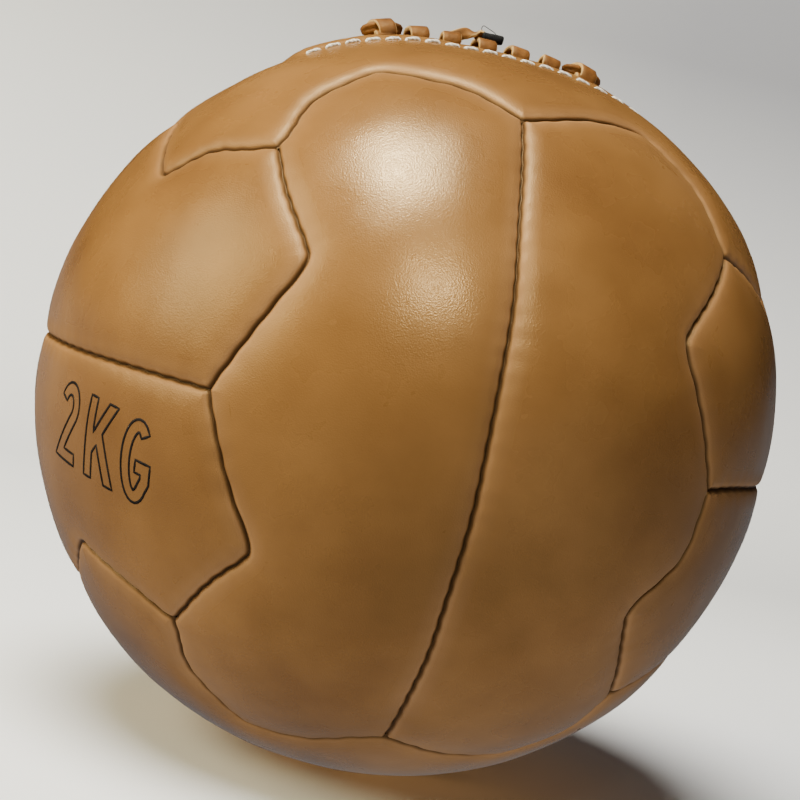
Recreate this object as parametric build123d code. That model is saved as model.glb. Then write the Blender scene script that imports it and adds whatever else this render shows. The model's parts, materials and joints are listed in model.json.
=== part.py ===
"""Laced leather medicine ball: twelve sewn panels over a stuffed cotton bag, in millimetres.

+Z points up through the lacing, X runs along the lacing slit, and the lowest point of the
ball, a small patch flattened by its own weight, lies on z = 0. Shapes are made about the
ball's centre and lifted when they are written.
"""

import os
from itertools import product
from math import asin, ceil, cos, degrees, radians, sin, sqrt

from build123d import *

# Driving dimensions
DIAMETER = 220.0
REST_PATCH_RADIUS = 18.0
LEATHER = 2.8
LINING = 0.9
BAG_CLOTH = 0.6

# Cover pattern: degrees round from the front, and degrees up
FACE_SEAM_HALF_ARC = 50.8
KNEE_TURN = 29.6
KNEE_RISE = 20.0

# Seams: each panel's edge is turned in, and the turned-in edges are sewn face to face
SEAM_HALF_GAP = 0.15
TURN_IN_DEPTH = 4.0
TURN_IN_THICKNESS = 2.2
EDGE_ROUND = 2.4
CORNER_ROUND = 2.0
LINING_INSET = 4.6

# Seam thread
THREAD_RADIUS = 0.45
THREAD_HOLE_RADIUS = 0.55
THREAD_PITCH = 6.0
THREAD_END_MARGIN = 5.0
KNOT_RADIUS = 0.85
KNOT_HEIGHT = 1.1

# Lacing slit and what surrounds it
SLIT_HALF_LENGTH = 37.0
FACING_HALF_LENGTH = 54.0
FACING_HALF_WIDTH = 15.0
FACING_THICKNESS = 1.4
FACING_SLIT_CLEARANCE = 0.3
TONGUE_HALF_LENGTH = 36.0
TONGUE_HALF_WIDTH = 13.0
TONGUE_THICKNESS = 1.4
TONGUE_DEPTH = 6.4

# Waxed white thread that holds the facings
SADDLE_OFFSET = 12.0
SADDLE_COUNT = 19
SADDLE_PITCH = 6.0
SADDLE_LENGTH = 4.2
SADDLE_RADIUS = 0.55
SADDLE_HOLE_RADIUS = 0.7

# Lace
RUNG_COUNT = 7
RUNG_PITCH = 10.35
EYELET_OFFSET = 5.5
EYELET_RADIUS = 1.8
LACE_WIDTH = 4.8
LACE_THICKNESS = 1.6
LACE_PASS_RADIUS = 1.55
LACE_CLEARANCE = 0.3
UNDER_RUN_DEPTH = 5.2
KNOT_LENGTH = 9.6
KNOT_TWIST = 14.0
TIP_LENGTH = 6.2
TIP_WIDTH = 4.4
TIP_THICKNESS = 2.0
TAIL_TURN = 4.3

# Neck of the stuffed bag, gathered and tied under the tongue
NECK_RECESS_RADIUS = 12.0
NECK_RADIUS = 8.0
NECK_WAIST = 5.0
NECK_HEIGHT = 9.0
NECK_HEADROOM = 0.5
TIE_CORD_RADIUS = 0.9

# Derived sizes
RADIUS = DIAMETER / 2
CENTRE_HEIGHT = sqrt(RADIUS**2 - REST_PATCH_RADIUS**2)
TURN_IN_END = LEATHER + TURN_IN_DEPTH
STITCH_RADIUS = RADIUS - LEATHER - TURN_IN_DEPTH / 2
THREAD_OFFSET = TURN_IN_THICKNESS + THREAD_RADIUS + 0.1
FIT = 0.05
REACH = 1.6 * RADIUS
PANEL_HUB_TURN = 8.0
BALL_CENTRE = Vector(0, 0, 0)
POCKET_DEPTH = TONGUE_DEPTH + TONGUE_THICKNESS + 2 * FIT
FACING_POCKET_DEPTH = LEATHER + FACING_THICKNESS + 2 * SADDLE_RADIUS + 0.1
PLATEAU_DEPTH = LEATHER + LINING + 2 * FIT

X, Y, Z = Vector(1, 0, 0), Vector(0, 1, 0), Vector(0, 0, 1)

PANELS = {  # name: (face it lies on, side of that face's seam)
    "panel_front_left": (-Y, -X),
    "panel_front_right": (-Y, X),
    "panel_back_left": (Y, -X),
    "panel_back_right": (Y, X),
    "panel_left_upper": (-X, Z),
    "panel_left_lower": (-X, -Z),
    "panel_right_upper": (X, Z),
    "panel_right_lower": (X, -Z),
    "panel_top_front": (Z, -Y),
    "panel_top_back": (Z, Y),
    "panel_bottom_front": (-Z, -Y),
    "panel_bottom_back": (-Z, Y),
}
FACE_SEAMS = {  # name: (face, direction of its straight seam)
    "front": (-Y, Z),
    "back": (Y, Z),
    "left": (-X, Y),
    "right": (X, Y),
    "top": (Z, X),
    "bottom": (-Z, X),
}


# ---------------------------------------------------------------- points on the ball


def on_ball(turn, rise):
    """Unit direction: turn degrees round from the front towards the left, rise degrees up."""
    t, r = radians(turn), radians(rise)
    return Vector(-sin(t) * cos(r), -cos(t) * cos(r), sin(r))


def next_face(v):
    """The same place one third of a turn on, about the upper front left corner."""
    return Vector(-v.Z, v.X, -v.Y)


def on_top(along, across):
    """Unit direction above the point that lies along X and across Y of the slit, as arc lengths."""
    t, b = along / RADIUS, across / RADIUS
    return Vector(sin(t) * cos(b), sin(b), cos(t) * cos(b))


SEAM_END = on_ball(0, FACE_SEAM_HALF_ARC)
CORNER = Vector(-1, -1, 1).normalized()
KNEE = on_ball(KNEE_TURN, KNEE_RISE)
SIDE_SEAM_END = on_ball(90 - FACE_SEAM_HALF_ARC, 0)


def panel_outline():
    """The front left panel's corners, anticlockwise from outside, and points along its seam."""
    upper = [SEAM_END, next_face(KNEE), CORNER, KNEE, SIDE_SEAM_END]
    lower = [Vector(v.X, v.Y, -v.Z) for v in reversed(upper[:-1])]
    seam = [on_ball(0, f * FACE_SEAM_HALF_ARC) for f in (-0.5, 0, 0.5)]
    return upper + lower + seam


def inset_outline(distance):
    """The outline moved inwards by a distance measured on the ball's surface."""
    ring = panel_outline()
    normals = [a.cross(b).normalized() for a, b in zip(ring, ring[1:] + ring[:1])]
    moved = []
    for i, corner in enumerate(ring):
        before, after = normals[i - 1], normals[i]
        step = (before + after) * (distance / RADIUS / (1 + before.dot(after)))
        moved.append((corner + step).normalized())
    return moved


# ---------------------------------------------------------------- basic solids


def ball(depth):
    """The ball inside a surface that lies depth below the outside, with its flattened patch."""
    return round_ball(depth) - below_patch(depth)


def below_patch(depth):
    """Everything below the flat patch of a surface that lies depth below the outside."""
    size = 2 * DIAMETER
    block = Box(size, size, size, align=(Align.CENTER, Align.CENTER, Align.MAX))
    return block.moved(Location((0, 0, depth - CENTRE_HEIGHT)))


def round_ball(depth):
    return Solid.make_sphere(RADIUS - depth, angle1=-90, angle2=90, angle3=360)


def shell(outer_depth, inner_depth):
    return round_ball(outer_depth) - round_ball(inner_depth)


def wedge(distance):
    """A cone from the ball's centre through the front left panel's outline, moved inwards."""
    ring = [v * REACH for v in inset_outline(distance)]
    hub = on_ball(PANEL_HUB_TURN, 0) * REACH
    faces = []
    for a, b in zip(ring, ring[1:] + ring[:1]):
        faces.append(Face(Wire.make_polygon([BALL_CENTRE, a, b], close=True)))
        faces.append(Face(Wire.make_polygon([hub, b, a], close=True)))
    return Solid(Shell(faces))


def place(shape, face, side):
    """Turns a shape made for the front left panel to another panel's place."""
    x_dir = side * -1
    return shape.moved(Location(Plane(BALL_CENTRE, x_dir=x_dir, z_dir=x_dir.cross(face * -1))))


def top_box(x_low, x_high, y_low, y_high):
    """A tall box above the slit, which cuts strips out of shells there."""
    box = Box(x_high - x_low, y_high - y_low, DIAMETER, align=(Align.MIN, Align.MIN, Align.MIN))
    return box.moved(Location((x_low, y_low, 0)))


def centred_box(half_length, half_width):
    return top_box(-half_length, half_length, -half_width, half_width)


def pin(foot, head, radius):
    """A round bar from foot to head."""
    return Solid.make_cylinder(radius, (head - foot).length, Plane(foot, z_dir=head - foot))


def cord(points, radius):
    """A round cord that follows straight runs, mitred where they meet."""
    section = Plane(points[0], z_dir=points[1] - points[0]) * Circle(radius)
    return sweep(section, path=Polyline(*points), transition=Transition.RIGHT)


def solids_of(shape):
    return list(shape.solids())


# ---------------------------------------------------------------- seams and their thread


def stitch_points(start, end, low_margin=THREAD_END_MARGIN, high_margin=THREAD_END_MARGIN):
    """Where the thread crosses the seam between two unit directions, and the seam's normal."""
    arc = start.get_angle(end)
    normal = start.cross(end).normalized()
    low = degrees(low_margin / RADIUS)
    high = arc - degrees(high_margin / RADIUS)
    gaps = max(2, ceil(radians(high - low) * RADIUS / THREAD_PITCH))
    angles = [low + (high - low) * i / gaps for i in range(gaps + 1)]
    axis = Axis(BALL_CENTRE, normal)
    return [(start * STITCH_RADIUS).rotate(axis, a) for a in angles], normal


def seam_thread(start, end, **margins):
    """Running stitch through both turned-in edges, with a knot on its two ends."""
    crossings, normal = stitch_points(start, end, **margins)
    side, path = 1, []
    for crossing in crossings:
        path += [crossing + normal * THREAD_OFFSET * side, crossing - normal * THREAD_OFFSET * side]
        side = -side
    knots = []
    for end, next_to_end in ((0, 1), (-1, -2)):
        outwards = (path[end] - path[next_to_end]).normalized()
        path[end] -= outwards * THREAD_RADIUS
        knots.append(pin(path[end], path[end] + outwards * KNOT_HEIGHT, KNOT_RADIUS))
    return cord(path, THREAD_RADIUS).fuse(*knots).solids()[0]


def seam_holes(start, end, **margins):
    """Bars that pierce the turned-in edges wherever the thread crosses."""
    crossings, normal = stitch_points(start, end, **margins)
    reach = normal * (TURN_IN_THICKNESS + 1)
    return [pin(c - reach, c + reach, THREAD_HOLE_RADIUS) for c in crossings]


def slit_margin():
    """Arc length of half the top seam that stays open for the lacing, from its middle."""
    return asin(SLIT_HALF_LENGTH / RADIUS) * RADIUS + THREAD_END_MARGIN


def face_seam_thread(face, along):
    """Thread of one face's straight seam. The top one leaves the lacing slit open."""
    c, s = cos(radians(FACE_SEAM_HALF_ARC)), sin(radians(FACE_SEAM_HALF_ARC))
    ends = [face * c - along * s, face * c + along * s]
    if face != Z:
        return [seam_thread(*ends)]
    return [seam_thread(Z, end, low_margin=slit_margin()) for end in ends]


def corner_thread(signs):
    """Thread of the three zigzag seams that meet at one of the ball's eight corners."""
    flip = [s * b for s, b in zip(signs, (-1, -1, 1))]

    def flipped(v):
        return Vector(v.X * flip[0], v.Y * flip[1], v.Z * flip[2])

    knee, end, threads = KNEE, SIDE_SEAM_END, []
    for _ in range(3):
        threads.append(seam_thread(flipped(CORNER), flipped(knee)))
        threads.append(seam_thread(flipped(knee), flipped(end)))
        knee, end = next_face(knee), next_face(end)
    return threads


# ---------------------------------------------------------------- leather cover


def is_outline_corner(edge):
    """True for an edge that runs towards the ball's centre at a real corner of the outline."""
    direction = ((edge @ 0) * 1).normalized()
    depth_span = abs((edge @ 0).length - (edge @ 1).length)
    mid_seam = abs(direction.X) < 0.01 and abs(direction.Z) < sin(radians(FACE_SEAM_HALF_ARC)) - 0.05
    return edge.geom_type == GeomType.LINE and depth_span > TURN_IN_END - 0.5 and not mid_seam


def is_outer_edge(edge):
    return all(abs((edge @ t).length - RADIUS) < 1e-3 for t in (0, 1))


def base_panel():
    """The front left panel: a leather shell, its edges turned in and pierced for the thread."""
    outside = wedge(SEAM_HALF_GAP)
    rim = (shell(LEATHER, TURN_IN_END) & outside) - wedge(TURN_IN_THICKNESS)
    panel = ((shell(0, LEATHER) & outside) + rim).solids()[0]
    panel = panel.fillet(CORNER_ROUND, [e for e in panel.edges() if is_outline_corner(e)])
    return panel.fillet(EDGE_ROUND, [e for e in panel.edges() if is_outer_edge(e)])


def zigzag_holes():
    """Thread holes round the front left panel, apart from those of its straight seam."""
    corners = panel_outline()[:9]
    return [h for a, b in zip(corners, corners[1:]) for h in seam_holes(a, b)]


def straight_holes(slit):
    """Thread holes of the front left panel's straight seam, without the slit's if it has one."""
    low, high = on_ball(0, -FACE_SEAM_HALF_ARC), on_ball(0, FACE_SEAM_HALF_ARC)
    if not slit:
        return seam_holes(low, high)
    middle = on_ball(0, 0)
    return [h for end in (low, high) for h in seam_holes(middle, end, low_margin=slit_margin())]


def flattened(shape, face, side, outer_depth, inner_depth, inset):
    """Flattens a layer of a bottom panel over the rest patch, at its full thickness."""
    patch = (round_ball(inner_depth) & place(wedge(inset), face, side)) - ball(inner_depth)
    return ((shape + patch) - below_patch(outer_depth)).solids()[0]


def leather_panels():
    blank = base_panel()
    common = blank - zigzag_holes()
    sewn = (common - straight_holes(slit=False)).solids()[0]
    laced = (common - straight_holes(slit=True)).solids()[0]
    made = {}
    for name, (face, side) in PANELS.items():
        panel = place(laced if face == Z else sewn, face, side)
        if face == Z:
            panel = top_panel(panel)
        if face == -Z:
            panel = flattened(panel, face, side, 0, LEATHER, SEAM_HALF_GAP)
        made[name] = [panel]
    return made


def top_panel(panel):
    """Opens the slit: no turned-in edge along it, eyelets, and holes for the white thread."""
    inside = round_ball(LEATHER) & centred_box(SLIT_HALF_LENGTH, FACING_HALF_WIDTH)
    return (panel - inside - eyelet_bars() - saddle_bars()).solids()[0]


# ---------------------------------------------------------------- lining, bag and stuffing


def linings():
    """Canvas glued to the back of each panel, inside its turned-in edge."""
    base = (shell(LEATHER + FIT, LEATHER + LINING) & wedge(LINING_INSET)).solids()[0]
    made = {}
    for name, (face, side) in PANELS.items():
        lining = place(base, face, side)
        if face == Z:
            lining = lining - centred_box(FACING_HALF_LENGTH + 1, FACING_HALF_WIDTH + 1)
        if face == -Z:
            lining = flattened(lining, face, side, LEATHER + FIT, LEATHER + LINING, LINING_INSET)
        made[name.replace("panel", "lining")] = solids_of(lining)
    return made


def filling(inset):
    """The stuffed bag's body: it swells into each panel between the turned-in edges."""
    body = ball(TURN_IN_END + FIT * 2 + inset)
    swell = round_ball(PLATEAU_DEPTH + inset) & wedge(LINING_INSET + inset)
    swells = [place(swell, face, side) for face, side in PANELS.values()]
    body = body.fuse(*swells) - below_patch(PLATEAU_DEPTH + inset)
    facing_pocket = shell(-1, FACING_POCKET_DEPTH + inset)
    facing_pocket &= centred_box(FACING_HALF_LENGTH + 4 + inset, FACING_HALF_WIDTH + 1 + inset)
    tongue_pocket = shell(-1, POCKET_DEPTH + inset)
    tongue_pocket &= centred_box(SLIT_HALF_LENGTH + 1 + inset, TONGUE_HALF_WIDTH + 1 + inset)
    neck_foot = RADIUS - POCKET_DEPTH - NECK_HEIGHT - inset
    recess = pin(Z * neck_foot, Z * RADIUS, NECK_RECESS_RADIUS + inset)
    return body - facing_pocket - tongue_pocket - recess


def inner_bag():
    return solids_of(filling(0) - filling(BAG_CLOTH))


def stuffing():
    return solids_of(filling(BAG_CLOTH + FIT))


def bag_neck():
    """Gathered cloth above the bag: wide at its foot and top, narrow under the tie."""
    foot = RADIUS - POCKET_DEPTH - NECK_HEIGHT + FIT
    top = RADIUS - POCKET_DEPTH - NECK_HEADROOM
    waist = (foot + top) / 2
    side = Spline((NECK_RADIUS, foot), (NECK_WAIST, waist), (NECK_RADIUS - 1, top))
    outline = side + Polyline((NECK_RADIUS - 1, top), (0, top), (0, foot), (NECK_RADIUS, foot))
    return solids_of(revolve(Plane.XZ * make_face(outline), Axis.Z))


def neck_tie():
    """Cord wound twice round the waist of the neck."""
    waist = RADIUS - POCKET_DEPTH - (NECK_HEIGHT + NECK_HEADROOM) / 2
    turns = []
    for lift in (-TIE_CORD_RADIUS - FIT, TIE_CORD_RADIUS + FIT):
        ring = Solid.make_torus(NECK_WAIST + TIE_CORD_RADIUS + 0.4, TIE_CORD_RADIUS)
        turns.append(ring.moved(Location(Z * (waist + lift))))
    return turns


# ---------------------------------------------------------------- slit: facings, tongue, thread


def facing(side):
    """Leather strip behind one lip of the slit. side is -1 at the front and 1 at the back."""

    def strip(half_length, near):
        y_low, y_high = sorted((side * near, side * FACING_HALF_WIDTH))
        return top_box(-half_length, half_length, y_low, y_high)

    outline = strip(FACING_HALF_LENGTH, LINING_INSET).fuse(
        strip(SLIT_HALF_LENGTH - FIT, FACING_SLIT_CLEARANCE))
    layer = shell(LEATHER + FIT, LEATHER + FACING_THICKNESS)
    return solids_of((layer & outline) - eyelet_bars() - saddle_bars())


def tongue():
    layer = shell(TONGUE_DEPTH, TONGUE_DEPTH + TONGUE_THICKNESS)
    return solids_of(layer & centred_box(TONGUE_HALF_LENGTH, TONGUE_HALF_WIDTH))


def saddle_ends(index):
    """Where one visible white stitch starts and ends, as arc lengths along the slit."""
    middle = (index - (SADDLE_COUNT - 1) / 2) * SADDLE_PITCH
    return middle - SADDLE_LENGTH / 2, middle + SADDLE_LENGTH / 2


def saddle_bars():
    """Bars that pierce a lip and its facing for the white thread."""
    bars = []
    for index, side in product(range(SADDLE_COUNT), (-1, 1)):
        for along in saddle_ends(index):
            direction = on_top(along, side * SADDLE_OFFSET)
            foot = direction * (RADIUS - LEATHER - FACING_THICKNESS - 1)
            bars.append(pin(foot, direction * (RADIUS + 1), SADDLE_HOLE_RADIUS))
    return bars


def saddle_thread(side):
    """White running stitch along one side of the slit."""
    above = RADIUS + SADDLE_RADIUS + FIT
    below = RADIUS - LEATHER - FACING_THICKNESS - SADDLE_RADIUS - FIT
    path = []
    for index in range(SADDLE_COUNT):
        start, end = (on_top(along, side * SADDLE_OFFSET) for along in saddle_ends(index))
        path += [start * below, start * above, end * above, end * below]
    return [cord(path, SADDLE_RADIUS).solids()[0]]


# ---------------------------------------------------------------- lace


def rung_place(index):
    """Arc length along the slit of one rung of the lace."""
    return (index - (RUNG_COUNT - 1) / 2) * RUNG_PITCH


def eyelet_bars():
    bars = []
    for index, side in product(range(RUNG_COUNT), (-1, 1)):
        direction = on_top(rung_place(index), side * EYELET_OFFSET)
        foot = direction * (RADIUS - LEATHER - FACING_THICKNESS - 1)
        bars.append(pin(foot, direction * (RADIUS + 1), EYELET_RADIUS))
    return bars


def strap(centre, x_dir, z_dir, length, width, thickness):
    """A flat length of lace about its centre, with its long edges eased."""
    bar = Box(length, width, thickness)
    bar = fillet(bar.edges().filter_by(Axis.X), thickness * 0.3)
    return bar.moved(Location(Plane(centre, x_dir=x_dir, z_dir=z_dir))).solids()[0]


def rung(index):
    """One crossing of the lace over the slit, with its two passes through the eyelets."""
    place_along = rung_place(index)
    up = on_top(place_along, 0)
    centre = up * (RADIUS + LACE_CLEARANCE + LACE_THICKNESS / 2)
    length = 2 * (EYELET_OFFSET + LACE_PASS_RADIUS)
    pieces = [strap(centre, Y, up, length, LACE_WIDTH, LACE_THICKNESS)]
    for side in (-1, 1):
        direction = on_top(place_along, side * EYELET_OFFSET)
        low = direction * (RADIUS - UNDER_RUN_DEPTH - LACE_THICKNESS / 2 + FIT)
        high = direction * (RADIUS + LACE_THICKNESS)
        pieces.append(pin(low, high, LACE_PASS_RADIUS))
    return pieces


def under_run(index):
    """The slanting run under the facings, from one rung's back eyelet to the next one's front."""
    depth = RADIUS - UNDER_RUN_DEPTH
    start = on_top(rung_place(index), EYELET_OFFSET) * depth
    end = on_top(rung_place(index + 1), -EYELET_OFFSET) * depth
    middle = (start + end) * 0.5
    width = 2 * LACE_PASS_RADIUS
    return strap(middle, end - start, middle, (end - start).length, width, LACE_THICKNESS - 0.1)


def end_knot(side):
    """The lace doubled back over the last rung: a bundle along the slit under a slanting turn."""
    along = side * (RUNG_COUNT - 1) / 2 * RUNG_PITCH
    up = on_top(along, 0)
    tangent = up.cross(Y) * -1
    level = RADIUS + LACE_CLEARANCE + LACE_THICKNESS
    bundle = strap(up * (level + 0.2), tangent, up, KNOT_LENGTH, LACE_WIDTH, 2 * LACE_THICKNESS)
    turn_dir = Y.rotate(Axis(BALL_CENTRE, up), side * KNOT_TWIST)
    over = strap(up * (level + 1.3 * LACE_THICKNESS), turn_dir, up,
                 2 * EYELET_OFFSET, LACE_WIDTH, LACE_THICKNESS)
    return [bundle, over]


def lace_tail():
    """The free end, which leaves the rung left of the middle and lies over the middle rung."""
    start = on_top(-RUNG_PITCH + LACE_WIDTH / 2 - 1, 0) * (RADIUS + LACE_THICKNESS)
    end = on_top(-TIP_LENGTH / 2, 0) * tip_level()
    up = on_top(-TAIL_TURN, 0)
    return strap((start + end) * 0.5, end - start, up, (end - start).length,
                 TIP_WIDTH - 0.6, LACE_THICKNESS)


def tip_level():
    """Distance of the tip's middle from the ball's centre: it lies on the middle rung."""
    return RADIUS + LACE_CLEARANCE + LACE_THICKNESS + FIT + TIP_THICKNESS / 2


def lace():
    pieces = [p for index in range(RUNG_COUNT) for p in rung(index)]
    pieces += [under_run(index) for index in range(RUNG_COUNT - 1)]
    pieces += end_knot(-1) + end_knot(1) + [lace_tail()]
    return solids_of(pieces[0].fuse(*pieces[1:]) - lace_tip()[0])


def lace_tip():
    """Black bound end of the lace."""
    body = Box(TIP_LENGTH, TIP_WIDTH, TIP_THICKNESS)
    body = fillet(body.edges().filter_by(Axis.X), TIP_THICKNESS * 0.35)
    return solids_of(body.moved(Location(Z * tip_level())))


# ---------------------------------------------------------------- writing the parts


def thread_nodes():
    made = {f"thread_{name}_seam": face_seam_thread(*seam) for name, seam in FACE_SEAMS.items()}
    words = {0: {-1: "left", 1: "right"}, 1: {-1: "front", 1: "back"}, 2: {-1: "lower", 1: "upper"}}
    for signs in product((-1, 1), repeat=3):
        level, depth, side = words[2][signs[2]], words[1][signs[1]], words[0][signs[0]]
        made[f"thread_{level}_{depth}_{side}_corner"] = corner_thread(signs)
    return made


def all_nodes():
    return {
        **leather_panels(),
        **linings(),
        **thread_nodes(),
        "slit_facing_front": facing(-1),
        "slit_facing_back": facing(1),
        "slit_stitching_front": saddle_thread(-1),
        "slit_stitching_back": saddle_thread(1),
        "tongue": tongue(),
        "lace": lace(),
        "lace_tip": lace_tip(),
        "inner_bag": inner_bag(),
        "bag_neck": bag_neck(),
        "neck_tie": neck_tie(),
        "stuffing": stuffing(),
    }


def write(nodes):
    os.makedirs("parts", exist_ok=True)
    lift = Location((0, 0, CENTRE_HEIGHT))
    for name, solids in nodes.items():
        shape = solids[0] if len(solids) == 1 else Compound(solids)
        export_step(shape.moved(lift), f"parts/{name}.step")


if __name__ == "__main__":
    write(all_nodes())
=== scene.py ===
"""Laced leather medicine ball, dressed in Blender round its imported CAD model."""

import json
from math import ceil, cos, gamma, inf, pi, radians, sin, sqrt

import bpy
import numpy as np
from mathutils import Matrix, Vector, noise
from mathutils.geometry import delaunay_2d_cdt


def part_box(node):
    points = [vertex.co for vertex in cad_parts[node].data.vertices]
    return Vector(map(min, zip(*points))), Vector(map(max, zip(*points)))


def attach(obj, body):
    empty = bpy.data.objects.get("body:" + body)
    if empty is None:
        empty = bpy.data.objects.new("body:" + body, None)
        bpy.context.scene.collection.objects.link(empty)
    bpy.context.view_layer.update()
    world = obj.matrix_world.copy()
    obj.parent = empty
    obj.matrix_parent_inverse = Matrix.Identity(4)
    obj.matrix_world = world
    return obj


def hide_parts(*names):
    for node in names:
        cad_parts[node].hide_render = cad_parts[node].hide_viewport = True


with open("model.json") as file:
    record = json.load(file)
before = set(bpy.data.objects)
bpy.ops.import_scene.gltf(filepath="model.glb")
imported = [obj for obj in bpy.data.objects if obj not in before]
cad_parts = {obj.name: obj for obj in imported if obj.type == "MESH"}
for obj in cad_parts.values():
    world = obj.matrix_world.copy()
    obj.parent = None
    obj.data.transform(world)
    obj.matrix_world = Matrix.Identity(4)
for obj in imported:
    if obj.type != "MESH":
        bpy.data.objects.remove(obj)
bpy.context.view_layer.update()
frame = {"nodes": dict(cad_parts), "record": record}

NODES = frame["nodes"]
MM = 0.001

# Sizes, in millimetres, unless a name says otherwise. Most repeat the CAD model's.
RADIUS = 110.0
LEATHER = 2.8
TURN_IN_END = 6.8
TURN_IN_THICKNESS = 2.1
SEAM_HALF_GAP = 0.04
LOWEST_COVER = RADIUS - LEATHER + 0.15  # just above the lining, which must not show in a groove
FACE_SEAM_HALF_ARC = 50.8
KNEE = (29.6, 20.0)
THREAD_PITCH = 6.0
SLIT_HALF_LENGTH = 37.0
EYELET_OFFSET = 5.5
RUNG_COUNT = 7
RUNG_PITCH = 10.35
SADDLE_OFFSET = 12.0
SADDLE_COUNT = 19
SADDLE_PITCH = 6.0
SADDLE_STITCH = 4.2
LACE_WIDTH = 4.8
LACE_THICKNESS = 1.6

# How the stuffed cover swells between its seams
CROWN = 110.8
ROLL_DEPTH = 1.5
ROLL_WIDTH = 2.4
PILLOW_DEPTH = 1.35
PILLOW_REACH = 6.0

X, Y, Z = np.eye(3)
CENTRE_HEIGHT = sum(corner[2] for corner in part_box("panel_front_left")) / 2 / MM

PANELS = {  # name: (face it lies on, side of that face's seam)
    "panel_front_left": (-Y, -X),
    "panel_front_right": (-Y, X),
    "panel_back_left": (Y, -X),
    "panel_back_right": (Y, X),
    "panel_left_upper": (-X, Z),
    "panel_left_lower": (-X, -Z),
    "panel_right_upper": (X, Z),
    "panel_right_lower": (X, -Z),
    "panel_top_front": (Z, -Y),
    "panel_top_back": (Z, Y),
    "panel_bottom_front": (-Z, -Y),
    "panel_bottom_back": (-Z, Y),
}


# ---------------------------------------------------------------- directions on the ball


def unit(v):
    v = np.asarray(v, float)
    return v / np.linalg.norm(v, axis=-1, keepdims=True)


def on_ball(turn, rise):
    """Unit direction: turn degrees round from the front towards the left, rise degrees up."""
    t, r = radians(turn), radians(rise)
    return np.array([-sin(t) * cos(r), -cos(t) * cos(r), sin(r)])


def about_slit(along, across):
    """Unit directions above points that lie along X and across Y of the slit, as arc lengths."""
    t, b = along / RADIUS, across / RADIUS
    return np.stack([np.sin(t) * np.cos(b), np.sin(b), np.cos(t) * np.cos(b)], axis=-1)


def next_face(v):
    """A direction on the front face, carried to the same place on the face above."""
    return np.array([-v[2], v[0], -v[1]])


def smooth_step(low, high, value):
    """0 at low and 1 at high, with an eased change between them. High may be under low."""
    t = np.clip((value - low) / (high - low), 0, 1)
    return t * t * (3 - 2 * t)


def hump(distance, spread):
    """1 at no distance, falling away like a bell."""
    return np.exp(-((distance / spread) ** 2))


# ---------------------------------------------------------------- one panel's outline


def outline_corners():
    """The front left panel's nine corners, anticlockwise from outside."""
    knee = on_ball(*KNEE)
    upper = [on_ball(0, FACE_SEAM_HALF_ARC), next_face(knee), unit([-1, -1, 1]), knee,
             on_ball(90 - FACE_SEAM_HALF_ARC, 0)]
    return upper + [v * (1, 1, -1) for v in reversed(upper[:-1])]


# How far the outline's corners are rounded. Three panels meet at a junction and two at a knee
KNEE_ROUND = 3.0
JUNCTION_ROUND = 0.6
CORNER_ROUNDS = [JUNCTION_ROUND, KNEE_ROUND] * 4 + [JUNCTION_ROUND]
SAMPLE = 0.6


def dense_outline():
    """Close points along the outline, with each one's place along its seam.

    The place is an arc length from the seam's own start, the same from both panels that share
    it, and the sign says which of the two panels this is.
    """
    corners = outline_corners()
    points, places, signs, rounds = [], [], [], []
    for i, (a, b) in enumerate(zip(corners, corners[1:] + corners[:1])):
        arc = np.arccos(a @ b)
        count = ceil(arc * RADIUS / SAMPLE)
        long_seam = i == len(corners) - 1
        for k in range(count):
            f = k / count
            p = unit(a * sin((1 - f) * arc) + b * sin(f * arc))
            points.append(p)
            if long_seam:
                places.append((f - 0.5) * arc * RADIUS)
            else:
                places.append(np.arccos(np.clip(p @ nearest_cube_corner(p), -1, 1)) * RADIUS)
            first_half = i in (0, 1, 6, 7)
            signs.append(1.0 if long_seam or not first_half else -1.0)
            to_a, to_b = f * arc * RADIUS, (1 - f) * arc * RADIUS
            near = CORNER_ROUNDS[i] if to_a < to_b else CORNER_ROUNDS[(i + 1) % len(corners)]
            rounds.append(near)
    return np.array(points), np.array(places), np.array(signs), np.array(rounds)


def nearest_cube_corner(p):
    return np.where(p < 0, -1.0, 1.0) / sqrt(3)


def rounded(points, rounds):
    """The outline with its corners rounded, by averaging each point with those beside it."""
    total = np.zeros_like(points)
    reach = int(3 * max(rounds) / SAMPLE)
    weights = np.zeros(len(points))
    for shift in range(-reach, reach + 1):
        w = np.exp(-0.5 * (shift * SAMPLE / rounds) ** 2)
        total += np.roll(points, -shift, axis=0) * w[:, None]
        weights += w
    return unit(total / weights[:, None])


# ---------------------------------------------------------------- distances from the seams

SOFT_POWER = 6
SOFT_FROM = (2.0, 5.0)  # further in than this, distances grow smooth where two seams are as near
SOFT_INTEGRAL = sqrt(pi) * gamma((SOFT_POWER - 1) / 2) / gamma(SOFT_POWER / 2)


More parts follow.
